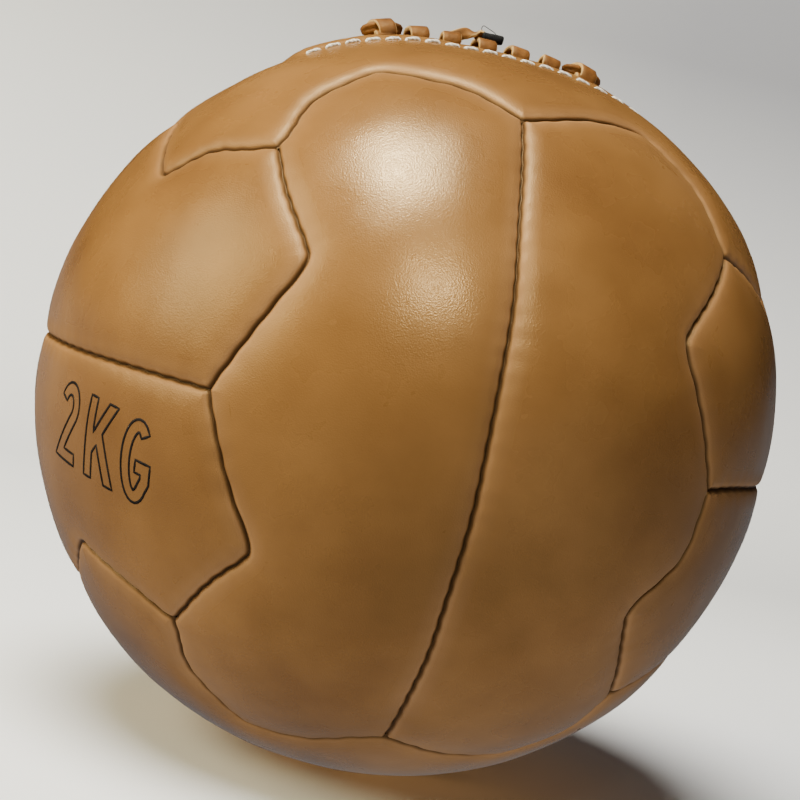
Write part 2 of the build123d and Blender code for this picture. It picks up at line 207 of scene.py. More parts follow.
class Outline:
    """The front left panel's outline, and how far inside it a direction lies."""

    def __init__(self):
        raw, self.places, self.signs, rounds = dense_outline()
        self.points = rounded(raw, rounds)
        ahead, behind = np.roll(self.points, -1, axis=0), np.roll(self.points, 1, axis=0)
        along = unit(ahead - behind)
        self.inward = unit(np.cross(self.points, along))
        self.steps = np.linalg.norm(ahead - self.points, axis=1) * RADIUS

    def look_up(self, directions):
        """For each direction: distance inside the outline, and the nearest outline point."""
        nearest = np.zeros(len(directions), int)
        sharp = np.zeros(len(directions))
        soft = np.zeros(len(directions))
        for start in range(0, len(directions), 2000):
            part = slice(start, start + 2000)
            gaps = directions[part, None, :] - self.points[None, :, :]
            squares = (gaps**2).sum(axis=2) * RADIUS**2 + 1e-6
            index = squares.argmin(axis=1)
            nearest[part] = index
            rows = np.arange(len(index))
            across = (gaps[rows, index] * self.inward[index]).sum(axis=1) * RADIUS
            sharp[part] = np.maximum(across, 0)
            total = (self.steps / squares ** (SOFT_POWER / 2)).sum(axis=1) / SOFT_INTEGRAL
            soft[part] = total ** (-1 / (SOFT_POWER - 1))
        blend = smooth_step(*SOFT_FROM, sharp)
        return sharp * (1 - blend) + soft * blend, nearest


OUTLINE = Outline()


# ---------------------------------------------------------------- flat layout and triangles

HUB = on_ball(19, 0)
HUB_RIGHT = unit(np.cross(Z, HUB) * -1)
RINGS = (0.0, 0.22, 0.55, 1.0, 1.6, 2.4, 3.4, 4.6, 6.1, 8.0, 10.4)
RING_STEP = 1.25
INNER_SPACING = 3.2
FINE_SPACING = 1.15
SLIT_ZONE = (62.5, 18.2)  # half length along the slit, and reach across it


def flatten(directions):
    """Stereographic layout about the panel's hub, in millimetres."""
    right, up = HUB_RIGHT, Z
    scale = 2 * RADIUS / (1 + directions @ HUB)
    return np.stack([directions @ right * scale, directions @ up * scale], axis=1)


def lift(flat):
    """The directions of points in the flat layout."""
    u, v = flat[:, 0] / (2 * RADIUS), flat[:, 1] / (2 * RADIUS)
    q = u * u + v * v
    return unit(((1 - q)[:, None] * HUB + 2 * u[:, None] * HUB_RIGHT + 2 * v[:, None] * Z))


def offset_ring(distance, step):
    """Points that lie a distance inside the outline, without those a corner leaves too near."""
    stride = max(1, round(step / SAMPLE))
    base, inward = OUTLINE.points[::stride], OUTLINE.inward[::stride]
    moved = unit(base + inward * distance / RADIUS)
    if distance == 0:
        return moved
    gaps = np.linalg.norm(moved[:, None] - OUTLINE.points[None], axis=2).min(axis=1) * RADIUS
    return moved[gaps > distance * 0.93]


def hex_points(spacing, low, high):
    """Evenly spaced points in the flat layout, between two corners."""
    rows = np.arange(low[1], high[1], spacing * sqrt(3) / 2)
    found = []
    for k, v in enumerate(rows):
        us = np.arange(low[0] + (k % 2) * spacing / 2, high[0], spacing)
        found.append(np.stack([us, np.full_like(us, v)], axis=1))
    return np.concatenate(found)


def triangles(points, boundary_count):
    """Delaunay triangles inside the first boundary_count points, which go round the outline."""
    loop = list(range(boundary_count))
    coords = [Vector(p) for p in points]
    made = delaunay_2d_cdt(coords, [], [loop], 1, 1e-5)
    origin = [ids[0] if ids else None for ids in made[3]]
    return [[origin[i] for i in tri] for tri in made[2] if None not in [origin[i] for i in tri]]


def slit_distance(directions):
    """Arc lengths along and across the slit, for directions on a top panel in the front left
    panel's place: its straight seam stands for the slit."""
    return (np.arcsin(np.clip(directions[:, 2], -1, 1)) * RADIUS,
            np.abs(np.arctan2(-directions[:, 0], -directions[:, 1])) * RADIUS)


def skin_layout(fine_slit):
    """Directions and triangles of a panel's outer skin; the ring on the seam comes first."""
    rings = [offset_ring(d, RING_STEP) for d in RINGS]
    edge = flatten(rings[0])
    low, high = edge.min(axis=0), edge.max(axis=0)
    inner = lift(hex_points(INNER_SPACING, low, high))
    depth, _ = OUTLINE.look_up(inner)
    keep = depth > RINGS[-1] + INNER_SPACING * 0.6
    if not fine_slit:
        return finish_layout(rings, inner[keep])
    fine = lift(hex_points(FINE_SPACING, low, high))
    depth, _ = OUTLINE.look_up(fine)
    along, across = slit_distance(fine)
    close = (np.abs(along) < SLIT_ZONE[0] - 0.5) & (across < SLIT_ZONE[1] - 0.7) & (depth > 0.7)
    in_slit = [slit_zone(r) for r in rings]
    rings = [r if i == 0 else r[~z] for i, (r, z) in enumerate(zip(rings, in_slit))]
    inner = inner[keep]
    inner = inner[~slit_zone(inner)]
    return finish_layout(rings, np.concatenate([inner, fine[close]]))


def slit_zone(directions):
    """Whether each direction is in the part round the slit that has finer triangles."""
    along, across = slit_distance(directions)
    return (np.abs(along) < SLIT_ZONE[0]) & (across < SLIT_ZONE[1])


def finish_layout(rings, inner):
    """Joins the points into triangles and drops the points that no triangle uses."""
    directions = np.concatenate([*rings, inner])
    tris = triangles(flatten(directions), len(rings[0]))
    used = sorted({i for tri in tris for i in tri} | set(range(len(rings[0]))))
    order = {old: new for new, old in enumerate(used)}
    return directions[used], [[order[i] for i in tri] for tri in tris], len(rings[0])


# ---------------------------------------------------------------- height of the cover

PUCKER = 0.24
PUCKER_REACH = 3.0
WOBBLE = 0.15
WOBBLE_REACH = 2.0
LIP_DEPTH = 0.9
LIP_WIDTH = 1.1
CREASE_HEIGHT = 0.16
SMALL_LUMPS = 0.16
BIG_LUMPS = 0.5
WANDER = 0.8
WANDER_SIZE = 30.0
SWELLS = (  # (turn, rise, height, spread in degrees): where the stuffing is fuller or slacker
    (0, 90, -3.5, 16),
    (-68, 40, 2.2, 24),
    (-66, -15, -1.7, 22),
    (77, -56, 1.0, 26),
    (90, 48, -1.6, 22),
    (20, -5, 0.5, 30),
    (160, 10, 0.8, 35),
    (-150, -25, -0.9, 30),
)
SEAM_SHIFTS = (  # (turn, rise, how far the seam there is pulled off its pattern place, spread)
    (0.0, 50.8, (0.0, 0.5, 0.5), 9),
    (15.0, 55.0, (2.2, 4.4, 3.2), 15),
    (35.0, 55.5, (-0.2, 4.6, 3.0), 13),
    (41.5, 46.0, (-3.0, 5.4, 1.8), 12),
    (45.0, 35.3, (1.0, 0.4, 1.6), 9),
    (56.6, 32.0, (0.7, 2.6, 2.9), 11),
    (-20.0, 54.5, (-1.0, 2.2, 1.6), 15),
    (-36.4, 54.0, (2.2, 4.6, 1.8), 13),
    (-41.5, 45.0, (5.0, 7.0, 1.5), 13),
    (-43.0, 34.0, (2.2, 1.1, -1.2), 13),
    (-37.0, 28.0, (1.6, 0.5, -1.2), 13),
    (-34.5, -9.0, (4.4, 3.8, -2.8), 14),
    (-28.0, -21.0, (1.2, 0.4, 0.8), 10),
    (30.0, -21.5, (1.0, -0.3, -0.8), 9),
    (20.0, -54.5, (3.0, 4.6, -3.6), 15),
    (36.4, -54.0, (1.0, 5.0, -3.2), 13),
    (41.5, -45.0, (-3.6, 5.4, -1.4), 12),
    (-15.0, -55.0, (-1.0, 1.8, -1.4), 13),
    (-41.5, -45.0, (5.0, 7.0, -1.4), 12),
    (67.0, -28.0, (-0.6, 2.8, -1.6), 14),
    (0.0, -50.8, (0.0, 1.5, -1.3), 10),
    (45.0, -35.3, (0.8, 0.8, -1.6), 10),
    (-45.0, -35.3, (-0.8, 0.8, -1.6), 10),
)


def swell(world):
    """How far the stuffing lifts the cover above an even ball."""
    total = np.zeros(len(world))
    for turn, rise, height, spread in SWELLS:
        angle = np.degrees(np.arccos(np.clip(world @ on_ball(turn, rise), -1, 1)))
        total += height * hump(angle, spread)
    return total


def grain_noise(points, size, seed):
    """Smooth noise from -1 to 1, at places in millimetres on the ball."""
    shift = Vector((seed * 17.3, seed * 5.1, seed * 9.7))
    return np.array([noise.noise(Vector(p) * (RADIUS / size) + shift) for p in points])


def drift(world):
    """How far the seams wander off their pattern, along the surface, in millimetres."""
    moved = np.array([noise.noise_vector(Vector(p) * (RADIUS / WANDER_SIZE)) for p in world]) * WANDER
    for turn, rise, shift, spread in SEAM_SHIFTS:
        gap = np.linalg.norm(world - on_ball(turn, rise), axis=1) * RADIUS
        moved += hump(gap, spread)[:, None] * np.array(shift)
    lacing = hump(world[:, 1] * RADIUS, 27) * smooth_step(0.3, 0.7, world[:, 2])
    moved *= (1 - lacing)[:, None]
    return moved - (moved * world).sum(axis=1)[:, None] * world


def cover_radius(local, world, slit):
    """Distance of the cover from the ball's centre, and of each point from its seam."""
    depth, nearest = OUTLINE.look_up(local)
    place = OUTLINE.places[nearest]
    wide = grain_noise(world, 40, 1)
    roll_width = ROLL_WIDTH * (1 + 0.25 * wide)
    roll_depth = ROLL_DEPTH * (1 + 0.15 * grain_noise(world, 28, 2))
    pillow = PILLOW_DEPTH * (1 + 0.3 * wide)
    pucker = PUCKER * (1 + 0.9 * grain_noise(world, 11, 3))
    fold = np.clip(1 - depth / roll_width, 0, 1)
    roll = roll_depth * (1 - np.sqrt(1 - fold**2))
    opened = np.zeros(len(local))
    if slit:
        along, across = slit_distance(local)
        opened = smooth_step(SLIT_HALF_LENGTH + 6, SLIT_HALF_LENGTH - 3, np.abs(along))
        opened = opened * smooth_step(26, 16, across)
    thin_fold = np.clip(1 - depth / LIP_WIDTH, 0, 1)
    lip = LIP_DEPTH * (1 - np.sqrt(1 - thin_fold**2))
    radius = CROWN + swell(world)
    radius -= (roll * (1 - opened) + lip * opened)
    radius -= pillow * np.exp(-depth / PILLOW_REACH) * (1 - opened * 0.8)
    stitch = 0.5 + 0.5 * np.cos(2 * pi * place / THREAD_PITCH)
    radius -= pucker * stitch * np.exp(-depth / PUCKER_REACH) * (1 - opened)
    radius += knee_creases(world, depth)
    radius += SMALL_LUMPS * grain_noise(world, 13, 4) * smooth_step(0.5, 5, depth)
    radius += BIG_LUMPS * grain_noise(world, 33, 5)
    if slit:
        radius -= slit_dips(along, across)
    return np.maximum(radius, LOWEST_COVER), depth, nearest


CREASES = (  # (turn, rise of a knee, which way its creases run as (turn, rise), length in mm)
    (29.6, 20.0, (-1.0, -0.1), 15),
    (29.6, -20.0, (-1.0, -0.25), 20),
    (-29.6, 20.0, (1.0, 0.1), 9),
    (-29.6, -20.0, (1.0, 0.4), 12),
)


def knee_creases(world, depth):
    """Fine creases that fan out from a knee into the panel that wraps round it."""
    total = np.zeros(len(world))
    for turn, rise, (run_turn, run_rise), length in CREASES:
        knee = on_ball(turn, rise)
        level = unit(np.cross(Z, knee))
        up = np.cross(knee, level)
        run = unit(run_turn * -level + run_rise * up)
        beside = np.cross(knee, run)
        along = (world - knee) @ run * RADIUS
        across = (world - knee) @ beside * RADIUS
        fan = across / (2.2 + 0.32 * np.maximum(along, 0))
        wave = np.cos(fan * 2 * pi * 0.75 + 0.4) * hump(fan, 1.6)
        fade = smooth_step(-2, 3, along) * smooth_step(length, length * 0.25, along)
        total += CREASE_HEIGHT * wave * fade * smooth_step(0.6, 3.0, depth)
    return total


# How deep the cover sinks about the slit, and how far out each dip spreads
LIPS_DIP = (0.5, 5)
THREAD_DIP = (0.35, 1.3)
STITCH_HOLE_DIP = (0.5, 0.9)
EYELET_DIP = (1.1, 2.3)
FACING_RISE = 1.9


def slit_dips(along, across):
    """The cover sinks at the slit's lips, along the white thread and at every punched hole, and
    the facings inside hold it up between the thread and the lips."""
    from_middle = np.abs(along)
    dip = dip_at(across, LIPS_DIP) * smooth_step(64, 42, from_middle)
    dip = dip - FACING_RISE * smooth_step(15.5, 7.5, across) * smooth_step(64, 54, from_middle)
    dip = dip + dip_at(across - SADDLE_OFFSET, THREAD_DIP) * smooth_step(60, 56, from_middle)
    for index in range(SADDLE_COUNT):
        for end in saddle_ends(index):
            dip = dip + dip_at(np.hypot(along - end, across - SADDLE_OFFSET), STITCH_HOLE_DIP)
    for index in range(RUNG_COUNT):
        gap = np.hypot(along - rung_place(index), across - EYELET_OFFSET)
        dip = dip + dip_at(gap, EYELET_DIP)
    return dip


def dip_at(distance, dip):
    """A dip of a (depth, spread), at a distance from its middle."""
    depth, spread = dip
    return depth * hump(distance, spread)


def rung_place(index):
    """Where a rung of the lace crosses the slit, along it."""
    return (index - (RUNG_COUNT - 1) / 2) * RUNG_PITCH


def saddle_ends(index):
    """Where a white stitch goes in and comes out, along the slit."""
    middle = (index - (SADDLE_COUNT - 1) / 2) * SADDLE_PITCH
    return middle - SADDLE_STITCH / 2, middle + SADDLE_STITCH / 2


def skin_points(local, turn, slit):
    """World points of the cover, in millimetres from the ball's centre, and seam distances."""
    world = local @ turn.T
    radius, depth, nearest = cover_radius(local, world, slit)
    bight = 2 * pi * OUTLINE.places[nearest] / THREAD_PITCH
    wobble = WOBBLE * np.sin(bight) * OUTLINE.signs[nearest] * np.exp(-depth / WOBBLE_REACH)
    if slit:
        along, _ = slit_distance(local)
        wobble = wobble * smooth_step(SLIT_HALF_LENGTH - 2, SLIT_HALF_LENGTH + 4, np.abs(along))
    sideways = OUTLINE.inward[nearest] @ turn.T
    gap = SEAM_HALF_GAP * np.exp(-depth / 1.5)
    shifted = world + (sideways * (wobble + gap)[:, None] + drift(world)) / RADIUS
    return unit(shifted) * radius[:, None], depth


def turn_to(face, side):
    """The turn that takes the front left panel to another one's place, as a 3 by 3 matrix."""
    x_dir, y_dir = -side, -face
    return np.stack([x_dir, y_dir, np.cross(x_dir, y_dir)], axis=1)


# ---------------------------------------------------------------- making objects


def new_object(name, points, faces, material, attributes=None):
    """A piece from points in millimetres about the ball's centre."""
    mesh = bpy.data.meshes.new(name)
    points = np.asarray(points, float) * MM + np.array([0, 0, CENTRE_HEIGHT * MM])
    mesh.from_pydata([tuple(p) for p in points], [], [tuple(f) for f in faces])
    for key, values in (attributes or {}).items():
        layer = mesh.attributes.new(key, "FLOAT", "POINT")
        layer.data.foreach_set("value", np.asarray(values, np.float32))
    mesh.materials.append(material)
    mesh.shade_smooth()
    mesh.update()
    piece = bpy.data.objects.new(name, mesh)
    bpy.context.scene.collection.objects.link(piece)
    return piece


SKIN = {False: skin_layout(False), True: skin_layout(True)}
BACK_SPACING = 9.0
LINING_GAP = 0.05


def back_layout():
    """The underside's triangles: the first points go round inside the turned-in edge."""
    ring = offset_ring(TURN_IN_THICKNESS, 2.4)
    flat = flatten(ring)
    inner = lift(hex_points(BACK_SPACING, flat.min(axis=0), flat.max(axis=0)))
    depth, _ = OUTLINE.look_up(inner)
    inner = inner[depth > TURN_IN_THICKNESS + BACK_SPACING * 0.5]
    directions = np.concatenate([ring, inner])
    return directions, triangles(flatten(directions), len(ring)), len(ring)


BACK = back_layout()


def bridge(first, second, first_progress, second_progress):
    """Triangles between two closed rows of points, given how far round each point lies."""
    faces, i, j = [], 0, 0
    while i < len(first) or j < len(second):
        a, b = first[i % len(first)], second[j % len(second)]
        next_a = first_progress[i + 1] if i < len(first) else inf
        next_b = second_progress[j + 1] if j < len(second) else inf
        if next_a <= next_b:
            faces.append((a, first[(i + 1) % len(first)], b))
            i += 1
        else:
            faces.append((a, second[(j + 1) % len(second)], b))
            j += 1
    return faces


def row_progress(directions):
    """How far round the outline each point of a row lies, from 0 to 1, ending with 1."""
    _, nearest = OUTLINE.look_up(directions)
    start = nearest[0]
    steps = np.mod(nearest - start, len(OUTLINE.points)) / len(OUTLINE.points)
    return list(np.maximum.accumulate(steps)) + [1.0]


def panel(name, face, side, material):
    """One leather panel: outer skin, turned-in edge and underside, as a closed mesh."""
    slit = face is PANELS["panel_top_front"][0]
    turn = turn_to(face, side)
    directions, tris, ring = SKIN[slit]
    outer, depth = skin_points(directions, turn, slit)
    flatten_rest_patch(outer)
    back_dirs, back_tris, back_ring = BACK
    edge_dirs = unit(outer[:ring])
    edge_foot = edge_dirs * (RADIUS - TURN_IN_END)
    world_back = back_dirs @ turn.T
    world_back = unit(world_back + drift(world_back) / RADIUS)
    foot = world_back[:back_ring] * (RADIUS - TURN_IN_END)
    under = world_back * (RADIUS - LEATHER + LINING_GAP)
    points = np.concatenate([outer, edge_foot, foot, under])
    low = len(outer)
    foot_at = low + ring
    under_at = foot_at + back_ring
    faces = list(tris)
    for k in range(ring):
        m = (k + 1) % ring
        faces.append((m, k, low + k, low + m))
    edge_rows = [low + k for k in range(ring)], [foot_at + k for k in range(back_ring)]
    progress = row_progress(directions[:ring]), row_progress(back_dirs[:back_ring])
    faces += [(b, a, c) for a, b, c in bridge(*edge_rows, *progress)]
    for k in range(back_ring):
        m = (k + 1) % back_ring
        faces.append((foot_at + m, foot_at + k, under_at + k, under_at + m))
    faces += [tuple(under_at + i for i in reversed(tri)) for tri in back_tris]
    seam = np.concatenate([depth, np.zeros(len(points) - len(depth))])
    piece = new_object(name + "_leather", points, faces, material, {"from_seam": seam})
    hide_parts(name)
    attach(piece, "root")


def flatten_rest_patch(points):
    """Presses the cover flat where the ball stands, changing the points given."""
    points[:, 2] = np.maximum(points[:, 2], -CENTRE_HEIGHT)


# ---------------------------------------------------------------- swept pieces


def cover_at(along, across):
    """Points of the cover about the slit, from arc lengths along and across it."""
    along, across = np.broadcast_arrays(np.asarray(along, float), np.asarray(across, float))
    world = about_slit(along, across)
    points = np.zeros_like(world)
    for side, mine in ((-Y, across <= 0), (Y, across > 0)):
        if mine.any():
            turn = turn_to(Z, side)
            points[mine], _ = skin_points(world[mine] @ turn, turn, True)
    return points


def smooth_path(points, per_span):
    """A smooth line through the points, with per_span steps from each to the next."""
    points = np.asarray(points, float)
    ends = 2 * points[:1] - points[1:2], 2 * points[-1:] - points[-2:-1]
    all_points = np.concatenate([ends[0], points, ends[1]])
    t = (np.arange(per_span) / per_span)[:, None]
    spans = []
    for a, b, c, d in zip(all_points, all_points[1:], all_points[2:], all_points[3:]):
        line = 2 * b + (c - a) * t
        spans.append(0.5 * (line + (2 * a - 5 * b + 4 * c - d) * t**2 + (3 * b - a - 3 * c + d) * t**3))
    return np.concatenate([*spans, points[-1:]])


def sweep(path, sides, sections):
    """A closed mesh from sections (rows of sideways and outward offsets) set along a path."""
    tangents = unit(np.gradient(path, axis=0))
    sides = unit(sides - (sides * tangents).sum(axis=1, keepdims=True) * tangents)
    outs = np.cross(tangents, sides)
    rings = [p + ring[:, :1] * s + ring[:, 1:] * o
             for p, s, o, ring in zip(path, sides, outs, sections)]
    count = len(rings[0])
    faces = tube_faces(len(rings), count)
    faces.append(tuple(reversed(range(count))))
    faces.append(tuple(range((len(rings) - 1) * count, len(rings) * count)))
    return np.concatenate(rings), faces


def tube_faces(ring_count, size, closed=False):
    """The faces between rings of size points. A closed tube's last ring joins its first."""
    faces = []
    for k in range(ring_count if closed else ring_count - 1):
        at, after = k * size, (k + 1) % ring_count * size
        for i in range(size):
            j = (i + 1) % size
            faces.append((at + i, at + j, after + j, after + i))
    return faces


def joined(meshes):
    """Several (points, faces) as one."""
    points, faces, start = [], [], 0
    for some_points, some_faces in meshes:
        points.append(some_points)
        faces += [tuple(start + i for i in face) for face in some_faces]
        start += len(some_points)
    return np.concatenate(points), faces


def round_section(radius, count=12, plies=0, twist=0.0):
    """A round section; plies of a twisted thread show as lobes, turned by twist."""
    angle = np.arange(count) * 2 * pi / count
    r = radius * (1 + 0.11 * np.cos(plies * angle - twist)) if plies else np.full(count, radius)
    return np.stack([r * np.cos(angle), r * np.sin(angle)], axis=1)


STRAP_EASE = 0.35


def strap_section(width, thickness):
    """A flat strap's section, with eased edges. Its points 0, 1, 6 and 7 are on the cut edges."""
    w, t, e = width / 2, thickness / 2, STRAP_EASE
    upper = [(w, -t + e), (w, t - e), (w - e, t), (0.4 * w, t * 1.06), (-0.4 * w, t * 1.06), (-w + e, t)]
    return np.array(upper + [(-x, -y) for x, y in upper])


def strap(points, width, thickness):
    """A strap about a smooth line given as (along, across, lift) above the cover at the slit."""
    route = smooth_path(points, 4)
    path = above_slit(route)
    turned = route[:, 0] / RADIUS
    along_slit = np.stack([np.cos(turned), 0 * turned, -np.sin(turned)], axis=1)
    narrowing = 1 - 0.3 * smooth_step(0.6, -1.5, route[:, 2])
    sections = [strap_section(width * n, thickness) for n in narrowing]
    return sweep(path, along_slit, sections)


def strap_edges(mesh):
    """1 on the cut edges of a strap's mesh and 0 on its faces."""
    index = np.arange(len(mesh[0])) % 12
    return np.isin(index, (0, 1, 6, 7)).astype(float)


def above_slit(route):
    """World points of (along, across, lift) rows, lifted from the level of the slit's lips."""
    along, across, lift = np.asarray(route, float).T
    lips = [np.linalg.norm(cover_at(along, side * LIP_OFFSET), axis=1) for side in (-1, 1)]
    return about_slit(along, across) * (np.mean(lips, axis=0) + lift)[:, None]


# ---------------------------------------------------------------- lace, its tip and the white thread

LIP_OFFSET = 9.0
PRESSED_WIDTH = LACE_WIDTH + 0.8  # the thong, pressed flatter where it is drawn tight
RUNG_TOP = 2.6
END_RUNG_TOP = 0.9
UNDER_LIPS = -5.0
WRAP_TOP = 4.3
WRAP_WIDTH = 5.2
WRAP_THICKNESS = 1.3
BUNDLE_LIFT = 2.3
BUNDLE_LENGTH = 11.8
BUNDLE_SIZE = (5.4, 3.6)
TAIL = ((-12.5, -1.6, 0.9), (-9.5, -1.4, 2.2), (-6.5, -1.1, 3.6), (-3.5, -0.9, 3.9), (-0.9, -0.8, 3.9))
TAIL_WIDTH = LACE_WIDTH - 1.2
TAIL_THICKNESS = 1.4
TIP_START, TIP_END = -1.4, 5.0
TIP_LIFT = 3.9
TIP_SIZE = (4.0, 2.7)
WHIPPING_PITCH = 0.55
WHISKER = ((-0.9, -1.2, 4.7), (-1.9, -1.5, 5.9), (-1.5, -1.7, 7.0), (0.2, -1.4, 6.5), (1.9, -0.9, 5.9),
           (3.0, -0.6, 5.2))
WHISKER_RADIUS = 0.11


def rung_route(index):
    """One crossing of the lace, from below the front lip, over the slit, to below the back lip."""
    middle = rung_place(index)
    ends = index in (0, RUNG_COUNT - 1)
    top = END_RUNG_TOP if ends else RUNG_TOP
    lean = 0.5 * sin(2.1 * index + 0.6)
    offsets = ((-0.96, -0.45), (-1.0, 0.02), (-0.86, 0.62), (-0.52, 0.94), (0.0, 1.0))
    front = [(middle - lean * a, a * EYELET_OFFSET, top * b if b > 0 else b * 4) for a, b in offsets]
    back = [(middle + lean * a, -a * EYELET_OFFSET, b) for (_, _, b), (a, _) in zip(front, offsets)]
    return front + [(x, y, lift) for x, y, lift in reversed(back[:-1])]


def lace_route():
    """The whole lace, rung after rung, with its slanting runs below the lips."""
    route = []
    for index in range(RUNG_COUNT):
        middle = rung_place(index)
        route.append((middle, -EYELET_OFFSET * 0.9, UNDER_LIPS))
        route += rung_route(index)
        route.append((middle, EYELET_OFFSET * 0.9, UNDER_LIPS))
    return route


def wrap_route(side):
    """The slanting turn that holds an end bundle down."""
    middle = side * (RUNG_COUNT - 1) / 2 * RUNG_PITCH
    shape = ((-0.95, -3.0), (-1.0, 0.6), (-0.86, 2.6), (-0.5, 4.0), (0.0, WRAP_TOP), (0.5, 4.0), (0.86, 2.6),
             (1.0, 0.6), (0.95, -3.0))
    return [(middle - 0.3 - 1.3 * a, a * EYELET_OFFSET, lift) for a, lift in shape]


def bundle(side):
    """The lace folded back on itself along the slit: two layers, with rounded ends."""
    middle = side * (RUNG_COUNT - 1) / 2 * RUNG_PITCH
    steps = np.linspace(-1, 1, 15)
    route = np.stack([middle + steps * BUNDLE_LENGTH / 2, 0.4 * steps * side, BUNDLE_LIFT - 0.9 * steps**2],
                     axis=1)
    sections = []
    for f in steps:
        size = (1 - abs(f) ** 4) ** 0.5 * 0.5 + 0.5
        w, t = BUNDLE_SIZE[0] / 2 * size, BUNDLE_SIZE[1] / 2 * size
        half = [(w * 0.86, -0.04), (w, -t * 0.3), (w * 0.97, -t * 0.72), (w * 0.78, -t), (0, -t * 1.04),
                (-w * 0.78, -t), (-w * 0.97, -t * 0.72), (-w, -t * 0.3)]
        sections.append(np.array([(-x, -y) for x, y in half] + half)[::-1])
    across = np.tile(Y, (len(route), 1))
    return facing_out(*sweep(above_slit(route), across, sections))


def facing_out(points, faces):
    """A closed mesh with its faces turned over if they look inwards."""
    volume = sum(points[f[0]] @ np.cross(points[a], points[b]) for f in faces for a, b in zip(f[1:], f[2:]))
    return points, [tuple(reversed(f)) for f in faces] if volume < 0 else faces


def lace():
    """One rawhide thong: seven rungs, the runs under them, and what is tied at both ends."""
    straps = [strap(lace_route(), PRESSED_WIDTH, LACE_THICKNESS)]
    straps += [strap(wrap_route(side), WRAP_WIDTH, WRAP_THICKNESS) for side in (-1, 1)]
    straps.append(strap(TAIL, TAIL_WIDTH, TAIL_THICKNESS))
    bundles = [bundle(side) for side in (-1, 1)]
    edges = np.concatenate([strap_edges(m) for m in straps] + [np.zeros(len(m[0])) for m in bundles])
    piece = new_object("lace_thong", *joined(straps + bundles), LACE_SKIN, {"cut_edge": edges})
    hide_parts("lace")
    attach(piece, "root")


def lace_tip():
    """The lace's end, whipped with black waxed thread, and the thread's loose end."""
    count = 72
    along = np.linspace(TIP_START, TIP_END, count)
    route = np.stack([along, np.full(count, -0.8), np.full(count, TIP_LIFT)], axis=1)
    sections = []
    for a in along:
        from_end = min(a - TIP_START, TIP_END - a)
        ease = 0.8 + 0.2 * min(1, from_end / 0.5) ** 0.5
        rib = 1 + 0.05 * abs(sin(pi * a / WHIPPING_PITCH))
        angle = np.arange(20) * 2 * pi / 20
        c, d = np.cos(angle), np.sin(angle)
        ring = [np.sign(c) * abs(c) ** 0.6 * TIP_SIZE[0] / 2, np.sign(d) * abs(d) ** 0.6 * TIP_SIZE[1] / 2]
        sections.append(np.stack(ring, axis=1) * ease * rib)
    tip = sweep(above_slit(route), np.tile(Y, (count, 1)), sections)
    piece = new_object("lace_tip_whipping", *tip, BLACK_WAX)
    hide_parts("lace_tip")
    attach(piece, "root")
    path = above_slit(smooth_path(WHISKER, 6))
    thread = sweep(path, np.tile(Y, (len(path), 1)), [round_section(WHISKER_RADIUS, 8)] * len(path))
    loose = new_object("lace_tip_thread_end", *thread, BLACK_WAX)
    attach(loose, "root")


STITCH_RADIUS = 0.56
STITCH_SLANT = 0.35
STITCH_SHAPE = (  # (fraction of the stitch, lift above the cover, thickness against STITCH_RADIUS)
    (0.02, -4.4, 0.75),
    (0.0, -1.8, 0.8),
    (0.05, -0.05, 0.9),
    (0.25, 0.2, 1.03),
    (0.5, 0.25, 1.05),
    (0.75, 0.2, 1.03),
    (0.95, -0.05, 0.9),
    (1.0, -1.8, 0.8),
    (0.98, -4.4, 0.75),
)
PLY_TURN = 2.4


def white_stitching(name, side):
    """Fat twisted thread that runs in and out beside the slit."""
    rows = []
    for index in range(SADDLE_COUNT):
        start, end = saddle_ends(index)
        vary = sin(1.7 * index + side)
        for f, lift, thick in STITCH_SHAPE:
            across = side * SADDLE_OFFSET + STITCH_SLANT * (f - 0.5) + 0.12 * vary
            level = np.linalg.norm(cover_at((start + end) / 2, across))
            rows.append((start + (end - start) * f, across, level + lift + 0.08 * vary, thick))
    rows = smooth_path(rows, 3)
    path = about_slit(rows[:, 0], rows[:, 1]) * rows[:, 2:3]
    travel = np.concatenate([[0], np.cumsum(np.linalg.norm(np.diff(path, axis=0), axis=1))])
    sections = [round_section(STITCH_RADIUS * thick, 12, 3, s * PLY_TURN)
                for thick, s in zip(rows[:, 3], travel)]
    piece = new_object(name + "_thread", *sweep(path, np.tile(Y, (len(path), 1)), sections), WHITE_THREAD)
    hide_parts(name)
    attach(piece, "root")


# ---------------------------------------------------------------- weight mark

MARK_PANEL = "panel_left_lower"
MARK_PLACE = (58.0, -11.5)
MARK_TILT = -7.0
MARK_HEIGHT = 23.0
MARK_LINE = 0.75
MARK_PROUD = 0.06
MARK_SUNK = 0.15
MARK_MIDDLE = (0.97, 0.5)  # of the three letters, in units of their height
LETTER_WEIGHT = 0.15


def arc(centre_x, centre_y, radius_x, radius_y, start, end, steps=16):
    """Points along part of an ellipse, between two angles in degrees."""
    angles = np.radians(np.linspace(start, end, steps))
    return [(centre_x + radius_x * cos(a), centre_y + radius_y * sin(a)) for a in angles]


def straight(corners):
    """The corners with points between them, close enough to follow the ball."""
    points = []
    for (ax, ay), (bx, by) in zip(corners, corners[1:]):
        steps = ceil(sqrt((bx - ax) ** 2 + (by - ay) ** 2) / 0.07)
        points += [(ax + (bx - ax) * k / steps, ay + (by - ay) * k / steps) for k in range(steps)]
    return points + [corners[-1]]


def offset(path, distance):
    """The path moved to its left, with its corners kept sharp."""
    steps = unit(np.diff(path, axis=0))
    lefts = np.stack([-steps[:, 1], steps[:, 0]], axis=1)
    before, after = np.concatenate([lefts[:1], lefts]), np.concatenate([lefts, lefts[-1:]])
    middle = unit(before + after)
    return path + middle * distance / (middle * before).sum(axis=1, keepdims=True)


